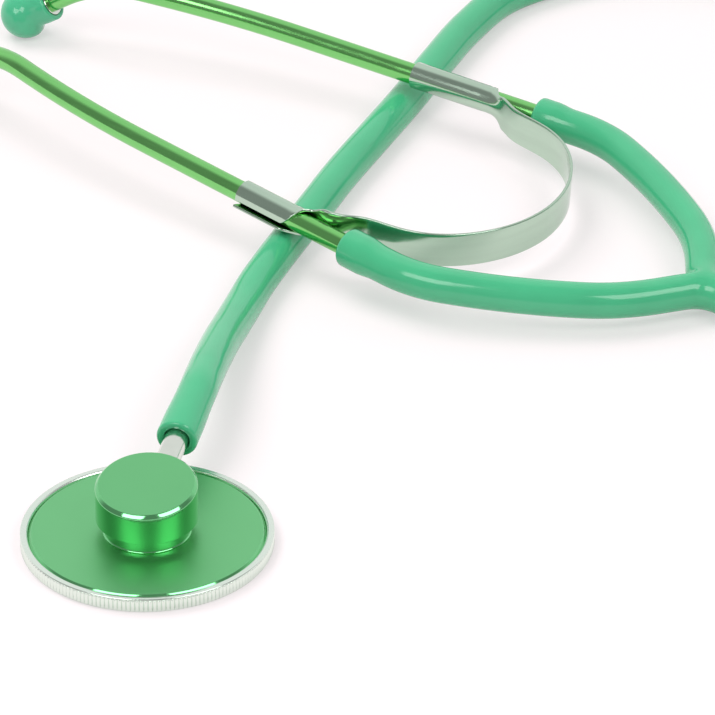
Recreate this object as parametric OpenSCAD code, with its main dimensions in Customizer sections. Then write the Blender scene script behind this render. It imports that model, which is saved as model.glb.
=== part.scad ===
// Toy stethoscope: a single chestpiece, moulded Y tubing and a sprung headset.
// The origin is the centre of the chestpiece's contact face, on the table, with +Z up.
// +Y runs along the headset, from the Y of the tubing towards the ear tips.

/* [Chestpiece] */
// Outer radius of the knurled retaining ring
ring_r = 24; // [20:0.5:30]
// Height of the retaining ring
ring_h = 3; // [2.6:0.1:4]
// Wall of the retaining ring outside the plate
ring_wall = 1.45; // [1:0.05:3]
// Thickness of the plate at its rim
plate_t = 2; // [1.6:0.1:3]
// Radius of the neck between plate and knob
neck_r = 8; // [6:0.1:9]
// Height of the neck
neck_h = 2.9; // [1:0.1:5]
// Radius of the knob
knob_r = 9.7; // [8:0.1:12]
// Height of the knob at its middle
knob_h = 7.5; // [6:0.1:12]
// Slope of the knob's flat top, in degrees
knob_slope = 7.9; // [0:0.1:10]
// Rounding of the knob's edges
knob_edge = 0.7; // [0.3:0.1:1.2]
// Rounding of the plate's top edge
plate_edge = 0.6; // [0.2:0.1:1]
// Number of knurls round the ring
knurl_n = 180; // [60:12:200]
// Depth of the knurls
knurl_d = 0.3; // [0.1:0.05:0.5]
// Height of the smooth bead above the knurls
bead_h = 0.3; // [0.2:0.05:1]
// Width of the ring's lip under the diaphragm
lip_w = 2; // [1:0.1:3]
// Thickness of the ring's lip
lip_t = 0.5; // [0.3:0.1:1]
// Thickness of the diaphragm
film_t = 0.3; // [0.2:0.05:0.5]
// Depth of the bell-shaped hollow over the diaphragm
bell_d = 1; // [0.5:0.1:1.2]
// Radius of the air hole down into the bell
air_r = 1.2; // [0.8:0.1:1.8]

/* [Stem] */
// Outer radius of the stem
stem_r = 2.35; // [1.8:0.05:2.6]
// Inner radius of the stem
stem_bore_r = 1.5; // [1:0.05:1.6]
// Height at which the stem's line crosses the chestpiece's axis
stem_z = 8; // [7.5:0.1:9.5]
// Rise of the stem, in degrees
stem_rise = 6; // [0:0.5:8]
// Direction of the stem, in degrees from +X towards +Y
stem_turn = 21; // [0:1:60]
// Distance from the axis to the stem's inner end
stem_in = 3.4; // [3:0.1:5]
// Distance from the axis to the tubing's end
stem_out = 21; // [19:0.5:30]
// Length of the stem inside the tubing
barb_len = 11; // [8:0.5:13]
// Height of each barb over the stem
barb_h = 0.3; // [0.1:0.05:0.5]
// Number of barbs
barb_n = 3; // [1:1:4]

/* [Tubing] */
// Outer radius of the main tube
tube_r = 3.8; // [3.5:0.05:4.2]
// Inner radius of all the tubing
lumen_r = 1.8; // [1.2:0.05:2]
// Outer radius of the arms
arm_r = 3.65; // [3.4:0.05:4]
// Outer radius of the cuffs at the ends of the tubing
cuff_r = 4.05; // [3.8:0.05:4.5]
// Length of the cuff over the stem
cuff_len = 14; // [12:0.5:20]
// Rounding of the cuffs' open ends
cuff_edge = 0.9; // [0.4:0.1:1.2]
// Radius of the rounded hub of the Y
hub_r = 4.2; // [4:0.05:5]
// Length of the Y's stem, up to the middle of the hub
hub_stem = 11.8; // [11:0.1:20]
// Reach of each straight branch from the middle of the hub
branch_len = 10.4; // [8:0.1:12]
// Angle between a branch and the Y's stem, less a right angle
branch_turn = 34; // [28:1:40]
// Radius of the arm's bend beside the hub
bend_a_r = 42; // [30:1:60]
// Radius of the arm's long middle bend
bend_b_r = 128; // [60:1:150]
// Radius of the arm's bend below the cuff
bend_c_r = 25; // [18:1:40]
// Length of the straight cuff on each arm
arm_cuff_len = 8.8; // [7:0.1:16]
// Straight length of the arm just below its cuff
cuff_foot = 2; // [1:0.5:4]
// How much shorter the right arm's cuff is than the left one's
cuff_trim = 1.2; // [0:0.1:4]

/* [Headset] */
// Distance from the chestpiece's axis to the headset's middle line
headset_x = 132.6; // [110:0.2:160]
// Place of the Y's stem end along the headset's line
headset_y = -52; // [-80:0.5:-40]
// Height of the Y's stem end over the table
headset_z = 4.4; // [4.2:0.1:6]
// Rise of the headset's plane where it lies over the main tube, in degrees
headset_rise = 4; // [3.8:0.1:6]
// Outer radius of the metal ear tubes
bin_r = 2.2; // [1.8:0.05:2.5]
// Inner radius of the ear tubes
bin_bore_r = 1.7; // [1.3:0.05:1.8]
// Inward lean of the ear tubes, in degrees
toe_turn = 6; // [4:0.5:9]
// Straight length of each ear tube beyond its cuff
bin_straight = 55.2; // [46:0.2:80]
// Radius of the ear tube's long inward bend
bin_bend_r = 250; // [150:5:400]
// Turn of the long inward bend, in degrees
bin_turn = 8; // [2:0.5:12]
// Straight length before the bend at the ear end
ear_lead = 3; // [1:0.5:6]
// Radius of the bend at the ear end
ear_bend_r = 30; // [20:1:45]
// Turn of the ear end out of the headset's plane, in degrees
ear_turn = 36.5; // [20:1:40]
// Straight length beyond the bend, up to the tube's end
ear_straight = 10.4; // [9:0.1:14]

/* [Spring] */
// Width of the leaf spring
leaf_w = 7.6; // [5:0.1:9]
// Thickness of the leaf spring
leaf_t = 0.6; // [0.4:0.05:0.8]
// Radius of the spring's shoulders
shoulder_r = 20; // [14:0.5:26]
// Straight length of each side of the spring
side_len = 5; // [1:0.5:8]
// Radius of the bend away from the middle
flare_out_r = 8; // [6:0.5:20]
// Radius of the bend back along the ear tube
flare_in_r = 7.5; // [5:0.5:16]
// Distance from the cuff to where the spring meets the ear tube
clip_start = 8.5; // [4:0.5:12]
// Length over which the flat leaf curls into a clip
curl_len = 5.5; // [4:0.5:14]
// Length of the round clip
clip_len = 13.8; // [10:0.2:18]
// Half of the angle that the clip wraps, in degrees
clip_turn = 147; // [130:1:155]

/* [Ear tips] */
// Largest radius of an ear tip
tip_r = 5.4; // [4.5:0.1:6.5]
// Radius of the ear tip's collar
tip_collar_r = 4; // [3.7:0.1:4.4]
// Length of an ear tip
tip_len = 13; // [11:0.5:16]
// Radius of the ear tip's sound hole
tip_hole_r = 1.1; // [0.7:0.1:1.5]
// Outer radius of the ferrule on the tube's end
ferrule_r = 2.9; // [2.7:0.05:3.1]
// Length of the ferrule
ferrule_len = 7; // [6:0.5:8]
// Number of grip rings on the ferrule
ferrule_rings = 4; // [2:1:6]

/* [Hidden] */
$fn = 64;

anodised_green = [0.45, 0.77, 0.53];
tube_green = [0.35, 0.77, 0.58];
ear_tube_green = [0.40, 0.72, 0.36];
bright_steel = [0.80, 0.85, 0.81];
nickel = [0.88, 0.92, 0.88];
film_white = [0.90, 0.92, 0.88];

// Clearances: turning fits, pushed-in fits, and how far a cut runs past its solid
run_gap = 0.05;
seat_gap = 0.02;
cut_past = 0.5;

// Heights in the chestpiece, from the contact face up
film_step = lip_t + seat_gap;
plate_z = film_step + film_t + seat_gap;
plate_top = plate_z + plate_t;
knob_z = plate_top + neck_h;
knob_top = knob_z + knob_h;
plate_r = ring_r - ring_wall - run_gap;
lip_r = ring_r - ring_wall - lip_w;

// Corners of a ring's cross-section are eased by this much
ring_ease = 0.15;

// Neighbouring steps of a tube run into each other by lap, every second one being a hair slimmer
lap = 0.1;
slim = 0.02;

// Finer turning for large circles, points across the leaf, and corners of the cord
arc_fn = 96;
leaf_across = 14;
cord_sides = 12;

// One side of the headset as steps of [length or radius, turn]; a turn of zero is a straight
branch_bend_turn = 13;
branch_steps = [[branch_len, 0], [bend_a_r, branch_bend_turn]];
arm_turn_a = 8;
arm_turn_b = 12.5;
arm_turn_c = 90 + toe_turn - branch_turn - branch_bend_turn - arm_turn_a - arm_turn_b;
arm_steps = [[bend_a_r, arm_turn_a], [bend_b_r, arm_turn_b], [bend_c_r, arm_turn_c],
    [cuff_foot, 0]];

// Place and heading at the end of a list of steps: [x, y, heading]
function step_end(at, step) = step[1] == 0
    ? [at[0] + step[0] * cos(at[2]), at[1] + step[0] * sin(at[2]), at[2]]
    : let (side = sign(step[1]), to = at[2] + step[1])
        [at[0] + side * step[0] * (sin(to) - sin(at[2])),
        at[1] - side * step[0] * (cos(to) - cos(at[2])), to];
function run_end(at, steps, i = 0) = i == len(steps)
    ? at
    : run_end(step_end(at, steps[i]), steps, i + 1);

hub_at = [0, hub_stem, branch_turn];
arm_at = run_end(hub_at, branch_steps);
cuff_at = step_end(run_end(arm_at, arm_steps), [arm_cuff_len, 0]);

// A place on the ear tube's straight, at a distance from the cuff's open end
function on_tube(along) = step_end(cuff_at, [along, 0]);

// The leaf spring lies against the inner side of the ear tube
clip_in_r = bin_r + run_gap;
clip_mid_r = clip_in_r + leaf_t / 2;
function inner_side(at) = [at[0] - clip_mid_r * sin(at[2]), at[1] + clip_mid_r * cos(at[2]), at[2]];
curl_at = inner_side(on_tube(clip_start));
clip_at = inner_side(on_tube(clip_start + curl_len));

// Turns of the spring's bends, from the middle outwards
bow_turn = 45;
shoulder_turn = 37;
flare_out_turn = 30;
flare_in_turn = 90 + toe_turn - bow_turn - shoulder_turn + flare_out_turn;
side_steps = [[shoulder_r, shoulder_turn], [side_len, 0], [flare_out_r, -flare_out_turn],
    [flare_in_r, flare_in_turn]];
side_span = run_end([0, 0, bow_turn], side_steps);
bow_r = (curl_at[0] - side_span[0]) / sin(bow_turn);
spring_steps = concat([[bow_r, bow_turn]], side_steps);
spring_at = [0, curl_at[1] - side_span[1] - bow_r * (1 - cos(bow_turn)), 0];

// Number of pieces that each of the spring's steps is swept in
spring_cuts = [5, 4, 1, 3, 4];
curl_cuts = 6;

// The cord's route over the table, from the Y's stem to the chestpiece's cuff
route = [[132.6, -62, 3.9], [133.5, -74, 3.8], [138, -87, 3.8], [148, -98, 3.8],
    [163, -104, 3.8], [180, -104, 3.8], [197, -99, 3.8], [213, -89, 3.8], [227, -76, 3.8],
    [239, -61, 3.8], [248, -44, 3.8], [254, -26, 3.8], [257, -7, 3.8], [257, 12, 3.8],
    [253, 30, 3.8], [245, 45, 3.8], [232, 57, 3.8], [216, 63, 3.8], [199, 62, 3.8],
    [182, 58.5, 3.8], [165, 54.5, 3.8], [148, 51, 3.8], [131, 47.5, 3.8], [115, 43.5, 3.8],
    [99, 39.6, 3.8], [91, 37.5, 3.8], [84, 35.5, 3.8], [76, 32.6, 4.1], [67, 28.9, 5.4],
    [58, 24.9, 7.3], [49, 20.5, 9.3], [41, 16.5, 10.9]];

// The directions of the cord's two ends
stem_dir = [cos(stem_rise) * cos(stem_turn), cos(stem_rise) * sin(stem_turn), sin(stem_rise)];
cord_start = [headset_x, headset_y, headset_z];
cord_end = [0, 0, stem_z] + (stem_out + cuff_len) * stem_dir;
cord_start_dir = [0, -cos(headset_rise), -sin(headset_rise)];
cord_points = concat([cord_start], route, [cord_end]);

// Moves a shape from the headset's own plane to its place over the table
module headset() {
    translate([headset_x, headset_y, headset_z]) rotate([headset_rise, 0, 0]) children();
}

// Moves a shape that points along +Z to a place and heading in the headset's plane
module at_place(at) {
    translate([at[0], at[1], 0]) rotate([90, 0, at[2] + 90]) children();
}

// A round bar or tube that follows steps in the headset's plane, from a place
module tube_run(at, steps, r_out, r_in, i = 0) {
    if (i < len(steps)) {
        step = steps[i];
        odd = i % 2;
        at_place(at)
            tube_step(step, r_out - odd * slim, max(r_in + odd * slim, 0),
                odd * lap, i < len(steps) - 1 || step[1] == 0 ? odd * lap : 0);
        tube_run(step_end(at, step), steps, r_out, r_in, i + 1);
    }
}

// One straight or one bend of a tube, from the origin along +Z, run on by a lap at each end
module tube_step(step, r_out, r_in, lap_from, lap_to) {
    turn_from = lap_from / step[0] * 180 / PI;
    turn_to = lap_to / step[0] * 180 / PI;
    if (step[1] == 0)
        translate([0, 0, -lap_from]) linear_extrude(step[0] + lap_from + lap_to)
            tube_section(r_out, r_in);
    else
        mirror([step[1] < 0 ? 1 : 0, 0, 0])
            translate([step[0], 0, 0]) rotate([90, 0, 180]) rotate([0, 0, -turn_from])
                rotate_extrude(angle = abs(step[1]) + turn_from + turn_to, $fn = arc_fn)
                    translate([step[0], 0]) tube_section(r_out, r_in);
}

module tube_section(r_out, r_in) {
    difference() {
        circle(r_out);
        if (r_in > 0) circle(r_in);
    }
}

// A ring's cross-section with eased corners, for turning about the axis
module eased_box(r_in, r_out, z_low, z_high) {
    polygon([[r_in, z_low], [r_out - ring_ease, z_low], [r_out, z_low + ring_ease],
        [r_out, z_high - ring_ease], [r_out - ring_ease, z_high], [r_in, z_high]]);
}

// Plate, neck and knob turned from one piece, with the bell, the air hole and the stem's bore
module chest_body() {
    color(anodised_green) difference() {
        union() {
            rotate_extrude($fn = arc_fn) rounded_step(plate_r, plate_z, plate_top, plate_edge);
            translate([0, 0, plate_z]) cylinder(r = neck_r, h = knob_z - plate_z);
            knob();
        }
        bell();
        translate([0, 0, plate_z]) cylinder(r = air_r, h = stem_z - plate_z);
        along_stem(0) cylinder(r = stem_bore_r, h = stem_in + cut_past);
        along_stem(stem_in) cylinder(r = stem_r + seat_gap, h = knob_r + cut_past);
    }
}

// Half of a disc's cross-section with its top edge rounded
module rounded_step(r, z_low, z_high, edge) {
    square_part = [[0, z_low], [r, z_low], [r, z_high - edge], [r - edge, z_high], [0, z_high]];
    polygon(square_part);
    translate([r - edge, z_high - edge]) quarter_disc(edge);
}

module quarter_disc(r) {
    intersection() {
        circle(r);
        square(r);
    }
}

// A round knob whose flat top rises towards the stem
module knob() {
    intersection() {
        translate([0, 0, knob_z]) rotate_extrude($fn = arc_fn)
            polygon([[0, 0], [knob_r - ring_ease, 0], [knob_r, ring_ease],
                [knob_r, knob_h + neck_h], [0, knob_h + neck_h]]);
        translate([0, 0, knob_top]) rotate([0, 0, stem_turn]) rotate([0, -knob_slope, 0])
            rotate_extrude($fn = arc_fn)
                rounded_step(knob_r / cos(knob_slope), -knob_h - neck_h, 0, knob_edge);
    }
}

// The shallow hollow above the diaphragm
module bell() {
    rotate_extrude($fn = arc_fn)
        polygon([[0, plate_z - cut_past], [lip_r, plate_z - cut_past], [lip_r, plate_z],
            [air_r, plate_z + bell_d], [0, plate_z + bell_d]]);
}

// Moves a shape that points along +Z to a distance along the stem's line
module along_stem(far) {
    translate([0, 0, stem_z]) rotate([0, 90 - stem_rise, stem_turn]) translate([0, 0, far])
        children();
}

// The plated stem, pressed into the knob, with barbs where the tubing grips it
module stem() {
    shown = stem_out - stem_in;
    pitch = barb_len / (barb_n + 1);
    barbs = [for (i = [1 : barb_n]) each [[stem_r, shown + i * pitch],
        [stem_r + barb_h, shown + i * pitch], [stem_r, shown + (i + 1) * pitch - ring_ease]]];
    color(nickel) along_stem(stem_in) rotate_extrude()
        polygon(concat([[stem_bore_r, 0], [stem_r, 0]], barbs,
            [[stem_r - ring_ease, shown + barb_len], [stem_bore_r, shown + barb_len]]));
}

// The thin dished film, its face flush with the ring's foot
module diaphragm() {
    film_r = plate_r - run_gap;
    face_r = lip_r - run_gap - film_t;
    color(film_white) rotate_extrude($fn = arc_fn)
        polygon([[0, 0], [face_r - film_step, 0], [face_r, film_step], [film_r, film_step],
            [film_r, film_step + film_t], [face_r - film_t / 2, film_step + film_t],
            [face_r - film_t / 2 - film_step, film_t], [0, film_t]]);
}

// The knurled ring that screws up round the plate and holds the diaphragm
module retaining_ring() {
    bead_z = ring_h - bead_h;
    core_r = ring_r - knurl_d - ring_ease;
    bore_r = plate_r + run_gap;
    color(nickel) union() {
        rotate_extrude($fn = arc_fn)
            polygon([[lip_r, 0], [core_r, 0], [core_r, bead_z], [ring_r, bead_z],
                [ring_r, ring_h - ring_ease], [ring_r - ring_ease, ring_h], [bore_r, ring_h],
                [bore_r, lip_t], [lip_r, lip_t]]);
        translate([0, 0, ring_ease]) linear_extrude(bead_z - 2 * ring_ease) difference() {
            polygon([for (i = [0 : 2 * knurl_n - 1]) let (a = 180 * i / knurl_n)
                (ring_r - (i % 2) * knurl_d) * [cos(a), sin(a)]]);
            circle((core_r + bore_r) / 2, $fn = arc_fn);
        }
    }
}

// Half of a cuff's cross-section: open rounded end at zero, bore, then the air passage
module cuff_profile(len, r_open, r_far, bore_r, bore_len) {
    polygon([[bore_r, 0], [r_open - cuff_edge, 0], [r_open, cuff_edge],
        [r_open, len / 2], [r_far, len], [lumen_r, len], [lumen_r, bore_len],
        [bore_r, bore_len]]);
    translate([r_open - cuff_edge, cuff_edge]) mirror([0, 1]) quarter_disc(cuff_edge);
}

// The widened end of the tubing, stretched over the stem
module tube_cuff() {
    color(tube_green) along_stem(stem_out) rotate_extrude()
        cuff_profile(cuff_len, cuff_r, tube_r, stem_r + barb_h + run_gap, barb_len + run_gap);
}

function unit(v) = v / norm(v);

// The corners of one ring of the cord, square to its direction
function cord_ring(at, dir) = let (side = unit(cross([0, 0, 1], dir)), up = cross(dir, side))
    [for (k = [0 : cord_sides - 1]) let (a = 360 * (k + 0.5) / cord_sides)
        at + tube_r * (cos(a) * side + sin(a) * up)];

// The free main tube, swept along its route
module main_tube() {
    n = len(cord_points);
    dirs = [for (i = [0 : n - 1]) i == 0 ? cord_start_dir : i == n - 1 ? -stem_dir
        : unit(unit(cord_points[i + 1] - cord_points[i]) + unit(cord_points[i] - cord_points[i - 1]))];
    color(tube_green) loft([for (i = [0 : n - 1]) cord_ring(cord_points[i], dirs[i])]);
}

// A closed solid through equal rings of corners
module loft(rings) {
    n = len(rings);
    m = len(rings[0]);
    polyhedron(points = [for (ring = rings) each ring],
        faces = concat([[for (k = [0 : m - 1]) k]], [[for (k = [0 : m - 1]) n * m - 1 - k]],
            [for (i = [0 : n - 2]) for (k = [0 : m - 1]) let (j = (k + 1) % m) each
                [[i * m + k, (i + 1) * m + k, (i + 1) * m + j],
                [i * m + k, (i + 1) * m + j, i * m + j]]]));
}

// The moulded Y: a stem, two branches and a rounded hub
module y_junction() {
    color(tube_green) headset() difference() {
        union() {
            at_place([0, 0, 90]) cylinder(r = tube_r, h = hub_stem);
            translate([0, hub_stem, 0]) sphere(hub_r);
            for (side = [0, 1]) mirror([side, 0, 0]) tube_run(hub_at, branch_steps, arm_r, 0);
        }
        at_place([0, -cut_past, 90]) cylinder(r = lumen_r, h = hub_stem + cut_past);
        translate([0, hub_stem, 0]) sphere(lumen_r + slim);
        for (side = [0, 1]) mirror([side, 0, 0]) {
            tube_run(hub_at, branch_steps, lumen_r, 0);
            at_place(step_end(arm_at, [-lap, 0])) cylinder(r = lumen_r, h = cut_past);
        }
    }
}

// One arm of the tubing, ending in the cuff over its ear tube
module arm_tube(trim) {
    len = arm_cuff_len - trim;
    tube_run(arm_at, arm_steps, arm_r, lumen_r);
    at_place(step_end(cuff_at, [-trim, 0])) rotate([180, 0, 0]) rotate_extrude()
        cuff_profile(len, cuff_r, arm_r, bin_r + run_gap, len - lumen_r);
}

module arm_tube_left() {
    color(tube_green) headset() mirror([1, 0, 0]) arm_tube(0);
}

module arm_tube_right() {
    color(tube_green) headset() arm_tube(cuff_trim);
}

// The cross-section of the leaf, flat or curled, about a place on its middle surface
function leaf_ring(at, half_w, curl) = let (out = [sin(at[2]), -cos(at[2])])
    [for (k = [0 : 2 * leaf_across + 1]) let (
        back = k > leaf_across,
        t = half_w * (2 * (back ? 2 * leaf_across + 1 - k : k) / leaf_across - 1),
        a = t * curl * 180 / PI,
        off = (back ? -1 : 1) * leaf_t / 2,
        deep = (curl == 0 ? 0 : (1 - cos(a)) / curl) + off * cos(a),
        up = (curl == 0 ? t : sin(a) / curl) - off * sin(a))
        [at[0] + out[0] * deep, at[1] + out[1] * deep, up]];

// Places along the spring's right half, from the middle to the start of the curl
function cut_step(step, share) = step[1] == 0 ? [step[0] * share, 0] : [step[0], step[1] * share];
spring_places = concat([spring_at], [for (i = [0 : len(spring_steps) - 1])
    let (from = run_end(spring_at, [for (j = [0 : 1 : i - 1]) spring_steps[j]]))
        for (k = [1 : spring_cuts[i]]) step_end(from, cut_step(spring_steps[i], k / spring_cuts[i]))]);

// Half-width along the sheet, from the leaf to the full wrap of the clip
wrap_w = clip_mid_r * clip_turn * PI / 180;
function eased(t) = t * t * (3 - 2 * t);
curl_rings = [for (k = [1 : curl_cuts]) let (t = k / curl_cuts, e = eased(t))
    leaf_ring(inner_side(on_tube(clip_start + t * curl_len)),
        leaf_w / 2 + (wrap_w - leaf_w / 2) * e * e, e / clip_mid_r)];
right_rings = concat([for (at = spring_places) leaf_ring(at, leaf_w / 2, 0)], curl_rings);

// The mirror image of a ring, kept turning the same way round
function mirrored(ring) = [for (p = ring) [-p[0], p[1], p[2]]];

// The bowed leaf between the two clips
module leaf_spring() {
    n = len(right_rings);
    color(bright_steel) headset()
        loft(concat([for (i = [n - 1 : -1 : 1]) mirrored(right_rings[i])], right_rings));
}

// The round end of the spring, rolled round the ear tube and open on its outer side
module spring_clip() {
    at_place(on_tube(clip_start + curl_len + run_gap)) rotate([0, 0, -clip_turn])
        rotate_extrude(angle = 2 * clip_turn, $fn = arc_fn)
            translate([clip_in_r, 0]) square([leaf_t, clip_len]);
}

module spring_clip_left() {
    color(bright_steel) headset() mirror([1, 0, 0]) spring_clip();
}

module spring_clip_right() {
    color(bright_steel) headset() spring_clip();
}

// The metal ear tube: straight in cuff and clip, a long bend inwards, then down to the ear tip
bin_inside = arm_cuff_len - lumen_r - run_gap;
bin_at = step_end(cuff_at, [-bin_inside, 0]);
bin_steps = [[bin_inside + bin_straight, 0], [bin_bend_r, bin_turn], [ear_lead, 0]];
ear_at = run_end(bin_at, bin_steps);

module binaural() {
    tube_run(bin_at, bin_steps, bin_r, bin_bore_r);
    at_ear() ear_end();
}

// Moves a shape to the start of the ear bend, so that it bends down towards the table
module at_ear() {
    at_place(ear_at) rotate([0, 0, -90]) children();
}

module ear_end() {
    tube_step([ear_bend_r, ear_turn], bin_r - slim, bin_bore_r + slim, lap, lap);
    past_bend() linear_extrude(ear_straight) tube_section(bin_r, bin_bore_r);
}

// Moves a shape to the end of the ear bend
module past_bend() {
    translate([ear_bend_r * (1 - cos(ear_turn)), 0, ear_bend_r * sin(ear_turn)])
        rotate([0, ear_turn, 0]) children();
}

module binaural_left() {
    color(ear_tube_green) headset() mirror([1, 0, 0]) binaural();
}

module binaural_right() {
    color(ear_tube_green) headset() binaural();
}

// The brass ferrule on the end of an ear tube, with grip rings for the ear tip
module ferrule() {
    pitch = ferrule_len / (ferrule_rings + 1);
    groove = ferrule_r - ring_ease;
    rings = [for (i = [1 : ferrule_rings]) each [[groove, i * pitch],
        [ferrule_r, i * pitch + ring_ease], [ferrule_r, i * pitch + pitch / 2],
        [groove, i * pitch + pitch / 2 + ring_ease]]];
    at_ear() past_bend() translate([0, 0, ear_straight - ferrule_len]) rotate_extrude()
        polygon(concat([[bin_r + seat_gap, 0], [ferrule_r, 0], [ferrule_r, pitch / 2],
            [groove, pitch / 2 + ring_ease]], rings,
            [[groove, ferrule_len], [bin_r + seat_gap, ferrule_len]]));
}

module ferrule_left() {
    color(nickel) headset() mirror([1, 0, 0]) ferrule();
}

module ferrule_right() {
    color(nickel) headset() ferrule();
}

// The soft mushroom ear tip: a collar over the ferrule, a domed head and a sound hole
module ear_tip() {
    socket = ferrule_len - run_gap;
    head_z = tip_len - tip_r;
    waist_z = head_z - tip_r + tip_collar_r;
    at_ear() past_bend() translate([0, 0, ear_straight - ferrule_len + 2 * run_gap])
        rotate_extrude() difference() {
            union() {
                polygon([[0, 0], [tip_collar_r - ring_ease, 0], [tip_collar_r, ring_ease],
                    [tip_collar_r, waist_z], [tip_r, head_z], [0, head_z]]);
                translate([0, head_z]) quarter_disc(tip_r);
            }
            translate([0, -cut_past]) square([ferrule_r + run_gap, socket + cut_past]);
            translate([0, -cut_past]) square([tip_hole_r, tip_len + 2 * cut_past]);
        }
}

module ear_tip_left() {
    color(tube_green) headset() mirror([1, 0, 0]) ear_tip();
}

module ear_tip_right() {
    color(tube_green) headset() ear_tip();
}

chest_body();
stem();
diaphragm();
retaining_ring();
tube_cuff();
main_tube();
y_junction();
arm_tube_left();
arm_tube_right();
leaf_spring();
spring_clip_left();
spring_clip_right();
binaural_left();
binaural_right();
ferrule_left();
ferrule_right();
ear_tip_left();
ear_tip_right();
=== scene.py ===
# Looks of the toy stethoscope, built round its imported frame. Its sizes are in millimetres,
# and the meshes are built in metres, in the row's frame.
from math import copysign, cos, hypot, pi, radians, sin, tan
import bpy
from mathutils import Matrix, Vector


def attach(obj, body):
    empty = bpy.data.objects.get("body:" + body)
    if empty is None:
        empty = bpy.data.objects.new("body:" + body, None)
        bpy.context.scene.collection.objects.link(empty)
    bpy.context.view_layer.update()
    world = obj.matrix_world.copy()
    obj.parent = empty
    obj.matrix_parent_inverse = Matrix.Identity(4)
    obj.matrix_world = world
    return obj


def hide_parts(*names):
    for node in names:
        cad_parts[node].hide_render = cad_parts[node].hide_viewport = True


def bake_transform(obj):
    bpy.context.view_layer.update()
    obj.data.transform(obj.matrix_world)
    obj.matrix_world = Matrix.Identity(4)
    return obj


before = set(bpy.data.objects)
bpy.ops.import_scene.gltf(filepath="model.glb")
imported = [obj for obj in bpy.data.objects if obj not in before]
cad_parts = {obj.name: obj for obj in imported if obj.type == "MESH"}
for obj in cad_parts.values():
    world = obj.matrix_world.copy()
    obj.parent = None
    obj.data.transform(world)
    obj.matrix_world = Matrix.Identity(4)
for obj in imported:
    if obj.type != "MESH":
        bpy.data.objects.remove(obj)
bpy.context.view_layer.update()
MM = 0.001

# The camera stands where the photograph was taken from, in metres and degrees
CAMERA_AT = (-0.7821, -0.5960, 0.63593)
CAMERA_TURN = (58.8, 0, -55)
CAMERA_LENS_MM = 312.2
CAMERA_SENSOR_MM = 36
CAMERA_FAR_CLIP = 50

# Chestpiece
RING_R = 24
RING_H = 3
RING_EASE = 0.15
PLATE_R = 22.5
PLATE_T = 2
PLATE_EDGE = 0.3
PLATE_BEVEL = 0.58
PLATE_LEAN = 43
NECK_R = 8
NECK_H = 2.9
NECK_FILLET = 0.45
SMALL_EDGE = 0.2
KNOB_R = 9.7
KNOB_H = 7.5
KNOB_SLOPE = 7.9
KNOB_EDGE = 0.35
KNOB_BEVEL = 0.5
KNOB_LEAN = 47
KNURLS = 180
KNURL_D = 0.3
BEAD_H = 0.3
LIP_W = 2
LIP_T = 0.5
FILM_T = 0.3
BELL_D = 1
AIR_R = 1.2
RUN_GAP = 0.05
SEAT_GAP = 0.02
# Flats have a ring of points this near to their edges, so that they look flat
EDGE_HOLD = 0.05
KNOB_TOP_HOLD = 0.03
# One face of this radius closes the knob's top
KNOB_TOP_MIDDLE = 0.4
RING_BORE = PLATE_R + RUN_GAP
LIP_R = RING_BORE - LIP_W
PLATE_Z = LIP_T + SEAT_GAP + FILM_T + SEAT_GAP
PLATE_TOP = PLATE_Z + PLATE_T
KNOB_Z = PLATE_TOP + NECK_H
KNOB_TOP = KNOB_Z + KNOB_H

# Stem and the tubing's cuff on it
STEM_Z = 8
STEM_RISE = 6
STEM_TURN = 21
STEM_R = 2.35
STEM_BORE_R = 1.5
STEM_IN = 3.4
STEM_OUT = 21
BARB_LEN = 11
BARB_H = 0.3
BARBS = 3
BARB_STEP = 0.05
END_CUFF_LEN = 14

# Headset: its own plane, then its tubing, ear tubes and spring
HEADSET_AT = (132.6, -52, 4.4)
HEADSET_RISE = 4
TUBE_R = 3.8
ARM_R = 3.65
CUFF_R = 4.05
CUFF_EDGE = 0.9
BORE_EDGE = 0.3
CUFF_LIP = 0.8
HUB_STEM = 11.8
BRANCH_TURN = 34
BRANCH = [(10.4, 0), (42, 13)]
TOE = 6
ARM_BENDS = [(42, 8), (128, 12.5)]
ARM_LAST_R = 25
CUFF_FOOT = 2
CUFF_LEN = 8.8
CUFF_TRIM = {"left": 0, "right": 1.2}
BIN_R = 2.2
BIN_BORE_R = 1.7
BIN_INSIDE = 6.95
BIN_STRAIGHT = 55.2
BIN_BEND = (250, 8)
EAR_LEAD = 3
EAR_BEND_R = 30
EAR_BEND = 36.5
EAR_STRAIGHT = 10.4
FERRULE_R = 2.9
FERRULE_LEN = 7
FERRULE_RINGS = 4
TIP_R = 5.4
TIP_COLLAR_R = 4
TIP_LEN = 13
TIP_HOLE_R = 1.1
LEAF_T = 0.6
LEAF_HALF = 3.8
LEAF_EDGE = 0.2
# The spring's bow and sides: radius and turn of each bend, and the straight between
SHOULDER = (20, 37)
SIDE_LEN = 5
FLARE_OUT = (8, -30)
FLARE_IN_R = 7.5
BOW_TURN = 45
# The spring's ends on the ear tubes, measured from the cuffs
CLIP_START = 8.5
CURL_LEN = 5.5
CLIP_LEN = 13.8
CLIP_OVER = 190
CLIP_UNDER = 110
LIP_FLAT = 2.6
# How much later the strip is fully rolled on each side, and how much sooner it begins to curl
WRAP_LATE = {"left": 2.7, "right": -1.6}
CURL_EARLY = {"left": 0, "right": 3.4}
# Where between these two the strip curls, widens and has a waist, as shares of the way,
# and how much slimmer each half is at the waist
CURL_SPAN = (0, 0.6)
WIDEN_SPAN = (0.3, 0.9)
WAIST_SPAN = (0, 0.7)
WAIST = 0.7
CLIP_MID_R = BIN_R + RUN_GAP + LEAF_T / 2
# The headset's sides, with the sign that mirrors each
SIDES = {"left": -1, "right": 1}

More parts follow.
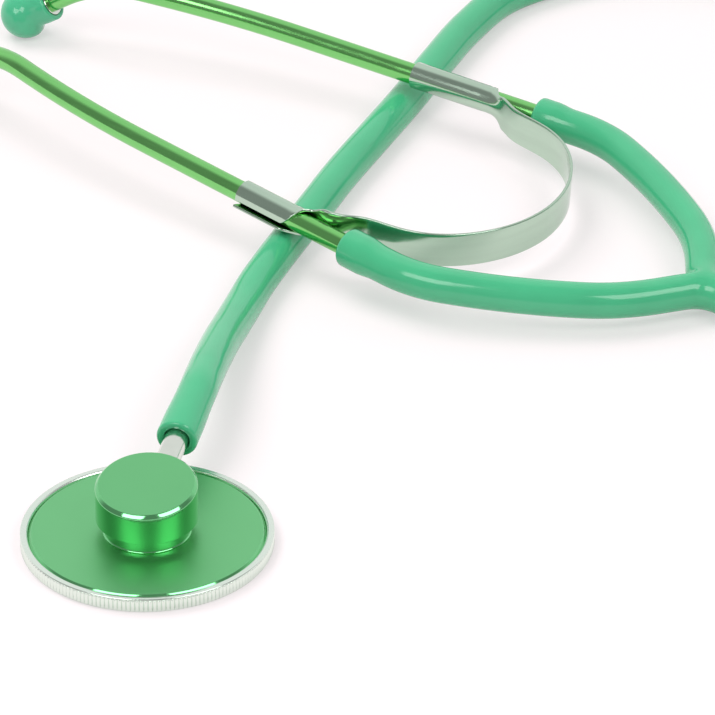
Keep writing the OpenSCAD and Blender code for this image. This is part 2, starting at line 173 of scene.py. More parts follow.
# The cord's route over the table, from the Y's stem to the chestpiece's cuff
ROUTE = [(132.6, -62, 3.9), (133.5, -74, 3.8), (138, -87, 3.8), (148, -98, 3.8),
         (163, -104, 3.8), (180, -104, 3.8), (197, -99, 3.8), (213, -89, 3.8),
         (227, -76, 3.8), (239, -61, 3.8), (248, -44, 3.8), (254, -26, 3.8),
         (257, -7, 3.8), (257, 12, 3.8), (253, 30, 3.8), (245, 45, 3.8), (232, 57, 3.8),
         (216, 63, 3.8), (199, 62, 3.8), (182, 58.5, 3.8), (165, 54.5, 3.8), (148, 51, 3.8),
         (131, 47.5, 3.8), (115, 43.5, 3.8), (99, 39.6, 3.8), (91, 37.5, 3.8),
         (84, 35.5, 3.8), (76, 32.6, 4.1), (67, 28.9, 5.4), (58, 24.9, 7.3), (49, 20.5, 9.3),
         (41, 16.5, 10.9)]
CORD_SPAN_STEPS = 10

# How far a tube runs on under its neighbour, and how much slimmer it is there
SEAM_LAP = 1.2
SEAM_SLIM = 0.04

# Mesh fineness: points round tubes and round the chestpiece, steps along cones, bevels, the
# ear tubes' bends and the spring's curl, and spacing along the arms, ear tubes and bow
TUBE_SIDES = 64
FINE_SIDES = 192
CONE_STEPS = 8
BEVEL_STEPS = 6
EAR_BEND_STEPS = 16
CURL_STEPS = 30
ARM_SPACING = 1
EAR_SPACING = 4
BOW_SPACING = 0.8
SHARP_ANGLE = 38


def make_camera():
    camera = bpy.data.objects.new("camera", bpy.data.cameras.new("camera"))
    bpy.context.scene.collection.objects.link(camera)
    camera.location = CAMERA_AT
    camera.rotation_euler = [radians(a) for a in CAMERA_TURN]
    camera.data.sensor_width = CAMERA_SENSOR_MM
    camera.data.lens = CAMERA_LENS_MM
    camera.data.clip_end = CAMERA_FAR_CLIP
    bpy.context.scene.camera = camera


# Meshes

def new_object(name, verts, faces, flip=False):
    mesh = bpy.data.meshes.new(name)
    if flip:
        faces = [tuple(reversed(f)) for f in faces]
    mesh.from_pydata([tuple(v) for v in verts], [], faces)
    obj = bpy.data.objects.new(name, mesh)
    bpy.context.scene.collection.objects.link(obj)
    smooth_mesh(mesh)
    return obj


def smooth_mesh(mesh):
    mesh.polygons.foreach_set("use_smooth", [True] * len(mesh.polygons))
    mesh.set_sharp_from_angle(angle=radians(SHARP_ANGLE))


def skin(rings, close_start=False, close_end=False, loop=False):
    """Quads between equal rings of points, each ring a closed outline."""
    n = len(rings[0])
    verts = [p for ring in rings for p in ring]
    faces = []
    for i in range(len(rings) - (0 if loop else 1)):
        a, b = i * n, ((i + 1) % len(rings)) * n
        faces += [(a + k, a + (k + 1) % n, b + (k + 1) % n, b + k) for k in range(n)]
    if close_start:
        faces.append(tuple(reversed(range(n))))
    if close_end:
        faces.append(tuple((len(rings) - 1) * n + k for k in range(n)))
    return verts, faces


def subdivide(obj, levels):
    """Catmull-Clark subdivision, made final."""
    modifier = obj.modifiers.new("smooth", "SUBSURF")
    modifier.levels = levels
    modifier.render_levels = levels
    graph = bpy.context.evaluated_depsgraph_get()
    mesh = bpy.data.meshes.new_from_object(obj.evaluated_get(graph))
    obj.modifiers.clear()
    obj.data = mesh
    smooth_mesh(mesh)


def sweep(points, r, sides):
    """Rings round a line, whose side vector turns as little as the line allows."""
    rings = []
    side = Vector((0, 0, 1))
    for i, p in enumerate(points):
        t = (points[min(i + 1, len(points) - 1)] - points[max(i - 1, 0)]).normalized()
        side = (side - side.dot(t) * t).normalized()
        across = t.cross(side)
        rings.append([p + r * (cos(2 * pi * k / sides) * side + sin(2 * pi * k / sides) * across)
                      for k in range(sides)])
    return rings


def lathe(profile, sides, place=Matrix.Identity(4)):
    """Rings of a profile of (radius, height) in millimetres, turned about +Z, then placed."""
    return [[place @ Vector((r * MM * cos(2 * pi * k / sides), r * MM * sin(2 * pi * k / sides),
                             z * MM)) for k in range(sides)] for r, z in profile]


def arc(cx, cz, r, start, stop, steps):
    """Points of an arc in a profile, between two angles in degrees."""
    angles = [radians(start + (stop - start) * i / steps) for i in range(steps + 1)]
    return [(cx + r * cos(a), cz + r * sin(a)) for a in angles]


def share_of(t, span):
    """How far t is through a span, from nought to one."""
    return max(0, min(1, (t - span[0]) / (span[1] - span[0])))


def eased(t):
    return t * t * (3 - 2 * t)


def axis_place(at, axis, side):
    """A frame whose +Z is an axis and whose +X is near a side vector."""
    z = axis.normalized()
    x = (side - side.dot(z) * z).normalized()
    y = z.cross(x)
    return Matrix(((x.x, y.x, z.x, at.x), (x.y, y.y, z.y, at.y), (x.z, y.z, z.z, at.z),
                   (0, 0, 0, 1)))


# Lines in the headset's plane

def step_end(at, step):
    x, y, heading = at
    if step[1] == 0:
        return (x + step[0] * cos(radians(heading)), y + step[0] * sin(radians(heading)), heading)
    side, to = copysign(1, step[1]), heading + step[1]
    return (x + side * step[0] * (sin(radians(to)) - sin(radians(heading))),
            y - side * step[0] * (cos(radians(to)) - cos(radians(heading))), to)


def run_end(at, steps):
    for step in steps:
        at = step_end(at, step)
    return at


def run(at, steps, spacing):
    """Places and headings along straights (length, 0) and bends (radius, turn)."""
    out = [at]
    for step in steps:
        length = step[0] if step[1] == 0 else step[0] * abs(radians(step[1]))
        n = max(1, round(length / spacing))
        for k in range(1, n + 1):
            part = (step[0] * k / n, 0) if step[1] == 0 else (step[0], step[1] * k / n)
            out.append(step_end(at, part))
        at = step_end(at, step)
    return out


def headset(u, v, w=0, mirror=1):
    """A point of the headset's plane, in metres over the table."""
    rise = radians(HEADSET_RISE)
    x, y, z = HEADSET_AT
    return Vector((x + mirror * u, y + v * cos(rise) - w * sin(rise),
                   z + v * sin(rise) + w * cos(rise))) * MM


def headset_dir(u, v, w=0, mirror=1):
    return (headset(u, v, w, mirror) - headset(0, 0, 0, mirror)).normalized()


def tube_ring(at, r, mirror, forward=0):
    """A ring round a line in the headset's plane, at a place and heading."""
    u, v, heading = at
    c, s = cos(radians(heading)), sin(radians(heading))
    out = []
    for k in range(TUBE_SIDES):
        across, up = r * cos(2 * pi * k / TUBE_SIDES), r * sin(2 * pi * k / TUBE_SIDES)
        out.append(headset(u + forward * c - across * s, v + forward * s + across * c, up, mirror))
    return out


HUB_AT = (0, HUB_STEM, BRANCH_TURN)
ARM_AT = run_end(HUB_AT, BRANCH)
ARM_LAST_TURN = 90 + TOE - ARM_AT[2] - sum(turn for r, turn in ARM_BENDS)
ARM_RUN = ARM_BENDS + [(ARM_LAST_R, ARM_LAST_TURN), (CUFF_FOOT, 0)]
CUFF_AT = run_end(ARM_AT, ARM_RUN + [(CUFF_LEN, 0)])


def on_tube(along):
    """A place on an ear tube's straight, from its cuff's open end."""
    return step_end(CUFF_AT, (along, 0))


def stem_line():
    rise, turn = radians(STEM_RISE), radians(STEM_TURN)
    return Vector((cos(rise) * cos(turn), cos(rise) * sin(turn), sin(rise)))


def along_stem(far):
    return Vector((0, 0, STEM_Z * MM)) + far * MM * stem_line()


# Materials

# The part of a noise's values that most places have
NOISE_SPAN = (0.3, 0.7)


def new_material(name, colour, roughness, metallic=0.0, **plain):
    """A shader with plain values, some of which a noise varies afterwards."""
    material = bpy.data.materials.new(name)
    material.use_nodes = True
    shader = material.node_tree.nodes["Principled BSDF"]
    shader.inputs["Base Color"].default_value = (*colour, 1)
    shader.inputs["Roughness"].default_value = roughness
    shader.inputs["Metallic"].default_value = metallic
    for key, value in plain.items():
        shader.inputs[key.replace("_", " ")].default_value = value
    return material, material.node_tree, shader


def add_node(tree, kind, **settings):
    node = tree.nodes.new(kind)
    for key, value in settings.items():
        if key.startswith("in_"):
            node.inputs[int(key[3:])].default_value = value
        else:
            setattr(node, key, value)
    return node


def place_noise(tree, scale, detail=3.0):
    """A noise over the piece's own place, with its scale given along each axis."""
    where = add_node(tree, "ShaderNodeTexCoord")
    stretch = add_node(tree, "ShaderNodeVectorMath", operation="MULTIPLY", in_1=scale)
    noise = add_node(tree, "ShaderNodeTexNoise")
    noise.inputs["Scale"].default_value = 1
    noise.inputs["Detail"].default_value = detail
    tree.links.new(where.outputs["Object"], stretch.inputs[0])
    tree.links.new(stretch.outputs[0], noise.inputs["Vector"])
    return noise.outputs["Fac"]


def turned_noise(tree, scale):
    """A noise of the distance from the chestpiece's axis, as a lathe leaves it."""
    where = add_node(tree, "ShaderNodeTexCoord")
    flat = add_node(tree, "ShaderNodeVectorMath", operation="MULTIPLY", in_1=(1, 1, 0))
    far = add_node(tree, "ShaderNodeVectorMath", operation="LENGTH")
    noise = add_node(tree, "ShaderNodeTexNoise", noise_dimensions="1D")
    noise.inputs["Scale"].default_value = scale
    tree.links.new(where.outputs["Object"], flat.inputs[0])
    tree.links.new(flat.outputs[0], far.inputs[0])
    tree.links.new(far.outputs["Value"], noise.inputs["W"])
    return noise.outputs["Fac"]


def vary_colour(tree, shader, fac, low, high):
    """Base colour between two tones of itself, by a noise."""
    ramp = add_node(tree, "ShaderNodeValToRGB")
    colour = shader.inputs["Base Color"].default_value[:3]
    for element, position, share in zip(ramp.color_ramp.elements, NOISE_SPAN, (low, high)):
        element.position = position
        element.color = (*[min(1, c * share) for c in colour], 1)
    tree.links.new(fac, ramp.inputs["Fac"])
    tree.links.new(ramp.outputs["Color"], shader.inputs["Base Color"])


def vary_roughness(tree, shader, fac, low, high):
    span = add_node(tree, "ShaderNodeMapRange")
    span.inputs["From Min"].default_value, span.inputs["From Max"].default_value = NOISE_SPAN
    span.inputs["To Min"].default_value = low
    span.inputs["To Max"].default_value = high
    tree.links.new(fac, span.inputs["Value"])
    tree.links.new(span.outputs[0], shader.inputs["Roughness"])


def add_bump(tree, shader, fac, depth_mm):
    bump = add_node(tree, "ShaderNodeBump")
    bump.inputs["Strength"].default_value = 1
    bump.inputs["Distance"].default_value = depth_mm * MM
    tree.links.new(fac, bump.inputs["Height"])
    tree.links.new(bump.outputs["Normal"], shader.inputs["Normal"])


def vinyl(name, colour):
    """Soft glossy vinyl: a faint waviness and cloudy colour."""
    clouds, patches, waves = (90, 90, 90), (220, 220, 220), (260, 260, 260)
    material, tree, shader = new_material(name, colour, 0.2, Specular_IOR_Level=0.55)
    vary_colour(tree, shader, place_noise(tree, clouds), 0.96, 1.04)
    vary_roughness(tree, shader, place_noise(tree, patches), 0.1, 0.14)
    add_bump(tree, shader, place_noise(tree, waves, 1), 0.012)
    return material


def anodised(name, colour):
    """Green anodised aluminium: satin faces, polished sides and edges."""
    clouds = (70, 70, 70)
    satin_from, satin_full = 0.93, 0.985
    polished_and_satin = {"Roughness": (0.09, 0.45), "Coat Roughness": (0.06, 0.45)}
    material, tree, shader = new_material(name, colour, 0.1, 1.0, Coat_Weight=0.6,
                                          Coat_Roughness=0.08)
    vary_colour(tree, shader, place_noise(tree, clouds, 2), 0.985, 1.015)
    where = add_node(tree, "ShaderNodeTexCoord")
    parts = add_node(tree, "ShaderNodeSeparateXYZ")
    satin = add_node(tree, "ShaderNodeMapRange", interpolation_type="SMOOTHSTEP")
    satin.inputs["From Min"].default_value = satin_from
    satin.inputs["From Max"].default_value = satin_full
    for target, (low, high) in polished_and_satin.items():
        span = add_node(tree, "ShaderNodeMapRange")
        span.inputs["To Min"].default_value = low
        span.inputs["To Max"].default_value = high
        tree.links.new(satin.outputs[0], span.inputs["Value"])
        tree.links.new(span.outputs[0], shader.inputs[target])
    tree.links.new(where.outputs["Normal"], parts.inputs[0])
    tree.links.new(parts.outputs["Z"], satin.inputs["Value"])
    return material


def turned_metal(name, colour, roughness):
    """Metal with fine rings round its axis, from the lathe."""
    bands, grooves = 3000, 8000
    material, tree, shader = new_material(name, colour, roughness, 1.0)
    vary_roughness(tree, shader, turned_noise(tree, bands), roughness * 0.8, roughness * 1.3)
    add_bump(tree, shader, turned_noise(tree, grooves), 0.001)
    return material


def drawn_metal(name, colour, roughness, scale):
    """Metal with fine lines along it, from drawing or rolling."""
    material, tree, shader = new_material(name, colour, roughness, 1.0)
    vary_colour(tree, shader, place_noise(tree, scale, 4), 0.96, 1.04)
    vary_roughness(tree, shader, place_noise(tree, scale, 4), roughness * 0.75, roughness * 1.35)
    add_bump(tree, shader, place_noise(tree, scale, 2), 0.0012)
    return material


def pale_film(name, colour):
    """Thin pale plastic with a cloudy gloss."""
    patches = (150, 150, 150)
    material, tree, shader = new_material(name, colour, 0.25)
    vary_roughness(tree, shader, place_noise(tree, patches), 0.2, 0.34)
    return material


def make_materials():
    return {
        "soft_tubing": vinyl("soft_green_vinyl", (0.062, 0.452, 0.222)),
        "soft_tip": vinyl("ear_tip_vinyl", (0.07, 0.47, 0.25)),
        "anodised_green": anodised("anodised_green", (0.175, 0.60, 0.245)),
        "ring_metal": turned_metal("bright_ring", (0.76, 0.85, 0.77), 0.22),
        "plated_metal": drawn_metal("nickel_plate", (0.70, 0.74, 0.68), 0.12, (300, 300, 300)),
        "spring_steel": drawn_metal("rolled_strip", (0.475, 0.62, 0.50), 0.12, (25, 25, 500)),
        "ear_tube_green": drawn_metal("ear_tube_green", (0.22, 0.62, 0.19), 0.16, (1500, 25, 1500)),
        "film": pale_film("diaphragm_film", (0.78, 0.82, 0.78)),
    }


def finish_piece(obj, body, slot, nodes):
    """Gives a new piece its body, its slot's material and the CAD nodes that it replaces."""
    obj.data.materials.append(MATERIALS[slot])
    if body:
        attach(obj, body)
    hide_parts(*nodes)


# The cord

def smooth_line(points, start_dir, end_dir, per_span):
    """A smooth curve through the points, leaving and arriving in given directions."""
    lead = (points[1] - points[0]).length
    tail = (points[-1] - points[-2]).length
    ctrl = [points[1] - 2 * lead * start_dir] + points + [points[-2] + 2 * tail * end_dir]
    out = []
    for i in range(1, len(ctrl) - 2):
        p0, p1, p2, p3 = ctrl[i - 1:i + 3]
        for k in range(per_span):
            t = k / per_span
            out.append(0.5 * (2 * p1 + (p2 - p0) * t + (2 * p0 - 5 * p1 + 4 * p2 - p3) * t * t
                              + (3 * p1 - p0 - 3 * p2 + p3) * t ** 3))
    return out + [points[-1]]


def main_tubing():
    points = [headset(0, 0)] + [Vector(p) * MM for p in ROUTE]
    points.append(along_stem(STEM_OUT + END_CUFF_LEN))
    path = smooth_line(points, headset_dir(0, -1), -stem_line(), CORD_SPAN_STEPS)
    rings = sweep(path, TUBE_R * MM, TUBE_SIDES)
    under_y = headset_dir(0, 1) * SEAM_LAP * MM
    slimmer = 1 - SEAM_SLIM / TUBE_R
    rings.insert(0, [path[0] + (p - path[0]) * slimmer + under_y for p in rings[0]])
    tube = new_object("main_tubing", *skin(rings))
    finish_piece(tube, "tubing", "soft_tubing", ["main_tube"])


# The bore of the cuff on the stem: how much wider than the stem it is, and the height
END_CUFF_BORE = [(BARB_H + RUN_GAP, BARB_LEN), (BARB_H + RUN_GAP, 2.7), (0.06, 2.3), (0.06, 0.8),
                 (0.16, 0.45), (0.36, 0.15)]


def end_cuff():
    """The tubing's wider mouth on the stem, rounded inside and out."""
    profile = [(STEM_R + wider, z) for wider, z in END_CUFF_BORE]
    profile += arc(CUFF_R - CUFF_LIP, CUFF_LIP, CUFF_LIP, -90, 0, 8)
    for i in range(CONE_STEPS + 1):
        t = i / CONE_STEPS
        profile.append((CUFF_R + (TUBE_R - CUFF_R) * eased(t),
                        END_CUFF_LEN / 3 + t * END_CUFF_LEN * 2 / 3))
    profile.append((TUBE_R - SEAM_SLIM, END_CUFF_LEN + SEAM_LAP))
    place = axis_place(along_stem(STEM_OUT), stem_line(), Vector((0, 0, 1)))
    cuff = new_object("end_cuff", *skin(lathe(profile, TUBE_SIDES, place)))
    finish_piece(cuff, "tubing", "soft_tubing", ["tube_cuff"])


# The Y and its arms

# The Y is a cage with this many corners round each tube, and subdividing draws its surface in to
# this share of the corners' radius
CAGE_SIDES = 8
CAGE_TURN = 360 / CAGE_SIDES
CAGE_LEVELS = 3
CAGE_SHARE = 0.902
# Where the Y's cage has rings, in millimetres from its ends
Y_STEM_RINGS = [0, 1.2, 3.6, 6]
Y_BRANCH_RINGS = [4.6, 6.8, 9.2, 12.4, 15.6, 18.4]
Y_HUB_TOP = 4.75
# How much further out each web lies than where its two tubes would meet, the crotch first
Y_WEBS = [-1, 0, 0]


def y_junction():
    """Three tubes that share the two poles of the hub and the corners of its three webs."""
    branch_len = BRANCH[0][0] + BRANCH[1][0] * radians(BRANCH[1][1])
    arm_cage = ARM_R / CAGE_SHARE
    stem_cage = TUBE_R / CAGE_SHARE
    verts = [headset(0, HUB_STEM, Y_HUB_TOP), headset(0, HUB_STEM, -Y_HUB_TOP)]
    web_headings = [90, (BRANCH_TURN - 90) / 2, 180 - (BRANCH_TURN - 90) / 2]
    half_angles = [90 - BRANCH_TURN, (90 + BRANCH_TURN) / 2, (90 + BRANCH_TURN) / 2]
    for heading, half, more in zip(web_headings, half_angles, Y_WEBS):
        for lift in (CAGE_TURN, 0, -CAGE_TURN):
            far = arm_cage * cos(radians(lift)) / sin(radians(half)) + more
            verts.append(headset(far * cos(radians(heading)),
                                 HUB_STEM + far * sin(radians(heading)),
                                 arm_cage * sin(radians(lift))))

    def web(j, i):
        return 2 + 3 * j + i

    def root(left, right):
        """A tube's root ring, from its left web over the top, seen along the tube."""
        return [web(left, 1), web(left, 0), 0, web(right, 0), web(right, 1), web(right, 2), 1,
                web(left, 2)]

    faces = []

    def join(root_ring, places, r):
        previous = root_ring
        for at in places:
            u, v, heading = at
            c, s = cos(radians(heading)), sin(radians(heading))
            start = len(verts)
            for k in range(CAGE_SIDES):
                turn = radians(CAGE_TURN * k)
                verts.append(headset(u - r * cos(turn) * s, v + r * cos(turn) * c, r * sin(turn)))
            ring = list(range(start, start + CAGE_SIDES))
            for k in range(CAGE_SIDES):
                after = (k + 1) % CAGE_SIDES
                faces.append((previous[k], previous[after], ring[after], ring[k]))
            previous = ring

    def branch_places(distances, mirror):
        out = []
        for d in distances:
            at = step_end(HUB_AT, (min(d, BRANCH[0][0]), 0))
            if d > BRANCH[0][0]:
                part = (d - BRANCH[0][0]) / (branch_len - BRANCH[0][0])
                at = step_end(at, (BRANCH[1][0], BRANCH[1][1] * part))
            out.append(at if mirror == 1 else (-at[0], at[1], 180 - at[2]))
        return out

    distances = Y_BRANCH_RINGS + [branch_len]
    join(root(0, 1), branch_places(distances, 1), arm_cage)
    join(root(2, 0), branch_places(distances, -1), arm_cage)
    join(root(1, 2), [(0, v, 270) for v in reversed(Y_STEM_RINGS)], stem_cage)
    y = new_object("y_of_tubing", verts, faces)
    subdivide(y, CAGE_LEVELS)
    finish_piece(y, "tubing", "soft_tubing", ["y_junction"])


def arm(side):
    """One arm, from the Y to the rounded mouth of its cuff, with the start of the cuff's bore."""
    mirror = SIDES[side]
    cuff_len = CUFF_LEN - CUFF_TRIM[side]
    places = run(ARM_AT, ARM_RUN, ARM_SPACING)
    rings = [tube_ring(places[0], ARM_R - SEAM_SLIM, mirror, forward=-SEAM_LAP)]
    rings += [tube_ring(at, ARM_R, mirror) for at in places]
    foot = places[-1]
    swell = cuff_len / 2
    for i in range(1, CONE_STEPS + 1):
        t = i / CONE_STEPS
        r = ARM_R + (CUFF_R - ARM_R) * eased(t)
        rings.append(tube_ring(foot, r, mirror, forward=t * swell))
    for r, z in arc(CUFF_R - CUFF_EDGE, cuff_len - CUFF_EDGE, CUFF_EDGE, 0, 90, 8):
        rings.append(tube_ring(foot, r, mirror, forward=z))
    bore = BIN_R + RUN_GAP
    for r, z in arc(bore + BORE_EDGE, cuff_len - BORE_EDGE, BORE_EDGE, 90, 180, 5):
        rings.append(tube_ring(foot, r, mirror, forward=z))
    rings.append(tube_ring(foot, bore, mirror, forward=swell))
    piece = new_object(f"arm_{side}", *skin(rings), flip=mirror == -1)
    finish_piece(piece, None, "soft_tubing", [f"arm_tube_{side}"])
    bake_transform(piece)


# The spring

FLARE_IN_TURN = 90 + TOE - BOW_TURN - SHOULDER[1] - FLARE_OUT[1]
SPRING_SIDE = [SHOULDER, (SIDE_LEN, 0), FLARE_OUT, (FLARE_IN_R, FLARE_IN_TURN)]
# How many times the strip's line is softened
SOFT_ROUNDS = 5
# Where along the rolled part of a clip the strip has rings, as shares of its length
ROLL_SHARES = (0.02, 0.25, 0.5, 0.75, 0.98, 1)
# How many faces lie side by side across the strip
STRIP_STEPS = 12


def inner_side(at):
    """The place on the spring's middle surface, at the inner side of an ear tube."""
    u, v, heading = at
    turn = radians(heading)
    return (u - CLIP_MID_R * sin(turn), v + CLIP_MID_R * cos(turn), heading)


def spring_places():
    """The bow's middle line, from its apex to where it reaches the ear tube."""
    to = inner_side(on_tube(CLIP_START))
    side_span = run_end((0, 0, BOW_TURN), SPRING_SIDE)
    bow_r = (to[0] - side_span[0]) / sin(radians(BOW_TURN))
    apex = (0, to[1] - side_span[1] - bow_r * (1 - cos(radians(BOW_TURN))), 0)
    return run(apex, [(bow_r, BOW_TURN)] + SPRING_SIDE, BOW_SPACING)


def softened(places, rounds):
    """Places along a line, each drawn towards its neighbours, so that bends run together."""
    for _ in range(rounds):
        middle = [tuple((a + 2 * b + c) / 4 for a, b, c in zip(*three))
                  for three in zip(places, places[1:], places[2:])]
        places = [places[0]] + middle + [places[-1]]
    return places


def strip_outline(up_half, down_half):
    """The strip's section, as offsets along the sheet and across it, from its middle line."""
    t, e = LEAF_T / 2, LEAF_EDGE
    face = [(-down_half + e + (up_half + down_half - 2 * e) * i / STRIP_STEPS, t)
            for i in range(STRIP_STEPS + 1)]
    top = [(up_half - e + e * cos(a), t - e + e * sin(a)) for a in (pi / 3, pi / 6, 0)]
    bottom = [(-down_half + e - e * cos(a), t - e + e * sin(a)) for a in (0, pi / 6, pi / 3)]
    half = bottom + face + top
    back = [(s, -d) for s, d in reversed(half)]
    return half + back


def strip_ring(at, outline, curl_up, curl_down, mirror):
    """The strip's section about its middle line, curled round the ear tube above and below."""
    u, v, heading = at
    out_u, out_v = sin(radians(heading)), -cos(radians(heading))
    ring = []
    for s, d in outline:
        deep, up, tilt = curl_point(s, curl_up if s > 0 else curl_down)
        deep, up = deep + d * cos(tilt), up - d * sin(tilt)
        ring.append(headset(u + out_u * deep, v + out_v * deep, up, mirror))
    return ring


def curl_point(s, curl):
    """Depth, height and tilt of a point s along the sheet, for a curl's share and round length."""
    share, round_len = curl
    if share == 0:
        return 0, s, 0
    k = share / CLIP_MID_R
    bent = max(-round_len, min(round_len, s))
    tilt = bent * k
    deep, up = (1 - cos(tilt)) / k, sin(tilt) / k
    past = s - bent
    return deep + past * sin(tilt), up + past * cos(tilt), tilt


def spring_half(side):
    """Half the bow and its clip in one strip, which curls and widens as it meets the ear tube."""
    mirror = SIDES[side]
    over = CLIP_MID_R * radians(CLIP_OVER)
    under_round = CLIP_MID_R * radians(CLIP_UNDER)
    under = under_round + LIP_FLAT
    wrap_len = CURL_LEN + WRAP_LATE[side]
    bow = spring_places()
    wrap = [inner_side(on_tube(CLIP_START + i / CURL_STEPS * wrap_len))
            for i in range(1, CURL_STEPS + 1)]
    line = softened(bow + wrap, SOFT_ROUNDS)
    ways = [0]
    for a, b in zip(line, line[1:]):
        ways.append(ways[-1] + hypot(b[0] - a[0], b[1] - a[1]))
    curl_from = ways[len(bow) - 1] - CURL_EARLY[side]
    rings = []
    for at, way in zip(line, ways):
        t = max(0, way - curl_from) / (ways[-1] - curl_from)
        share, grown = eased(share_of(t, CURL_SPAN)), eased(share_of(t, WIDEN_SPAN))
        start_half = LEAF_HALF - WAIST * sin(pi * share_of(t, WAIST_SPAN)) ** 2
        outline = strip_outline(start_half + (over - LEAF_HALF) * grown,
                                start_half + (under - LEAF_HALF) * grown)
        rings.append(strip_ring(at, outline, (share, over), (share, under_round), mirror))
    outline = strip_outline(over, under)
    for t in ROLL_SHARES:
        at = inner_side(on_tube(CLIP_START + wrap_len + t * (CLIP_LEN + CURL_LEN - wrap_len)))
        rings.append(strip_ring(at, outline, (1, over), (1, under_round), mirror))
    piece = new_object(f"spring_{side}", *skin(rings, close_end=True), flip=mirror == 1)
    finish_piece(piece, None, "spring_steel", ["leaf_spring", f"spring_clip_{side}"])
    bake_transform(piece)


# The ear tubes and tips

# How far the ear tubes' bores are drawn in from their ends
EAR_BORE_IN = 2
EAR_BORE_OUT = 3


def ear_line(side):
    """The ear tube's places up to its bend, then the bend's start and three directions there."""
    mirror = SIDES[side]
    start = step_end(CUFF_AT, (-BIN_INSIDE, 0))
    steps = [(BIN_INSIDE + BIN_STRAIGHT, 0), BIN_BEND, (EAR_LEAD, 0)]
    places = run(start, steps, EAR_SPACING)
    u, v, heading = places[-1]
    ahead = headset_dir(cos(radians(heading)), sin(radians(heading)), 0, mirror)
    down = -headset_dir(0, 0, 1, mirror)
    across = headset_dir(-sin(radians(heading)), cos(radians(heading)), 0, mirror)
    return places, headset(u, v, 0, mirror), ahead, down, across


def ear_bend_place(bend_at, ahead, down, a):
    """The ear tube's middle after a part of its bend's turn, and its direction there."""
    return (bend_at + EAR_BEND_R * MM * (sin(a) * ahead + (1 - cos(a)) * down),
            cos(a) * ahead + sin(a) * down)


def ear_tube(side):
    mirror = SIDES[side]
    places, bend_at, ahead, down, across = ear_line(side)
    rings = [tube_ring(places[0], BIN_BORE_R, mirror, forward=EAR_BORE_IN),
             tube_ring(places[0], BIN_BORE_R, mirror)]
    rings += [tube_ring(at, BIN_R, mirror) for at in places]
    turns = [radians(EAR_BEND) * i / EAR_BEND_STEPS for i in range(1, EAR_BEND_STEPS + 1)]
    middles = [ear_bend_place(bend_at, ahead, down, a)[0] for a in turns]
    bend_end, far = ear_bend_place(bend_at, ahead, down, turns[-1])
    tube_end = bend_end + EAR_STRAIGHT * MM * far
    middles += [tube_end, tube_end, tube_end - EAR_BORE_OUT * MM * far]
    turns += [turns[-1]] * 3
    radii = [BIN_R] * (len(turns) - 2) + [BIN_BORE_R] * 2
    for centre, a, r in zip(middles, turns, radii):
        up = -cos(a) * down + sin(a) * ahead
        rings.append([centre + r * MM * (cos(2 * pi * k / TUBE_SIDES) * across
                                         + sin(2 * pi * k / TUBE_SIDES) * up)
                      for k in range(TUBE_SIDES)])
    piece = new_object(f"ear_tube_{side}", *skin(rings), flip=mirror == -1)
    finish_piece(piece, f"ear_tube_{side}", "ear_tube_green", [f"binaural_{side}"])


def ear_end_place(side, back):
    """The frame on the ear tube's end, some way back from it, with +Z out of the tube."""
    _, bend_at, ahead, down, across = ear_line(side)
    bend_end, far = ear_bend_place(bend_at, ahead, down, radians(EAR_BEND))
    return axis_place(bend_end + (EAR_STRAIGHT - back) * MM * far, far, across)


def ferrule(side):
    """The plated end of an ear tube, with low rings that hold the tip."""
    pitch = FERRULE_LEN / (FERRULE_RINGS + 1)
    low = FERRULE_R - RING_EASE
    edge, foot = 0.1, 0.05
    profile = [(BIN_R + SEAT_GAP, 0), (FERRULE_R - edge, 0), (FERRULE_R, edge),
               (FERRULE_R, pitch / 2 - edge), (low, pitch / 2 + foot)]
    for i in range(1, FERRULE_RINGS + 1):
        z = i * pitch
        profile += [(low, z - foot), (FERRULE_R, z + edge), (FERRULE_R, z + pitch / 2 - edge),
                    (low, z + pitch / 2 + foot)]
    profile += [(low, FERRULE_LEN), (BIN_R + SEAT_GAP, FERRULE_LEN)]
    rings = lathe(profile, TUBE_SIDES, ear_end_place(side, FERRULE_LEN))
    piece = new_object(f"ferrule_of_{side}_tube", *skin(rings, loop=True))
    finish_piece(piece, f"ear_tube_{side}", "plated_metal", [f"ferrule_{side}"])


def ear_tip(side):
    """A soft mushroom tip: a collar, a waist and a domed head with a sound hole."""
    socket = FERRULE_LEN - RUN_GAP
    bore = FERRULE_R + RUN_GAP
    head_z = TIP_LEN - TIP_R
    edge, dome_turn, hole_edge = 0.4, 74, 0.15
    profile = [(TIP_HOLE_R, socket), (bore, socket), (bore, edge)]
    profile += arc(bore + edge, edge, edge, 180, 270, 4)
    profile += arc(TIP_COLLAR_R - edge, edge, edge, -90, 0, 4)
    waist = [(TIP_COLLAR_R, 2.6), (TIP_COLLAR_R - 0.12, 4.0), (TIP_COLLAR_R + 0.05, 4.9),
             (TIP_COLLAR_R + 0.55, 5.7), (TIP_R - 0.32, 6.35), (TIP_R - 0.05, 7.0)]
    profile += waist + arc(0, head_z, TIP_R, 0, dome_turn, 16)
    lip_z = profile[-1][1]
    profile += [(TIP_HOLE_R + hole_edge, lip_z + 0.1), (TIP_HOLE_R, lip_z - 0.2)]
    rings = lathe(profile, TUBE_SIDES, ear_end_place(side, FERRULE_LEN - 2 * RUN_GAP))
    piece = new_object(f"soft_tip_{side}", *skin(rings, loop=True))
    finish_piece(piece, f"tip_{side}", "soft_tip", [f"ear_tip_{side}"])


# The chestpiece

def bevel(radius, top, edge, wide, lean):
    """From an upright side to a flat top, over a straight bevel between two rounds."""
    a = radians(lean)
    low = arc(radius - edge, top - edge - wide * cos(a), edge, 0, lean, BEVEL_STEPS)
    return low + arc(radius - edge - wide * sin(a), top - edge, edge, lean, 90, BEVEL_STEPS)


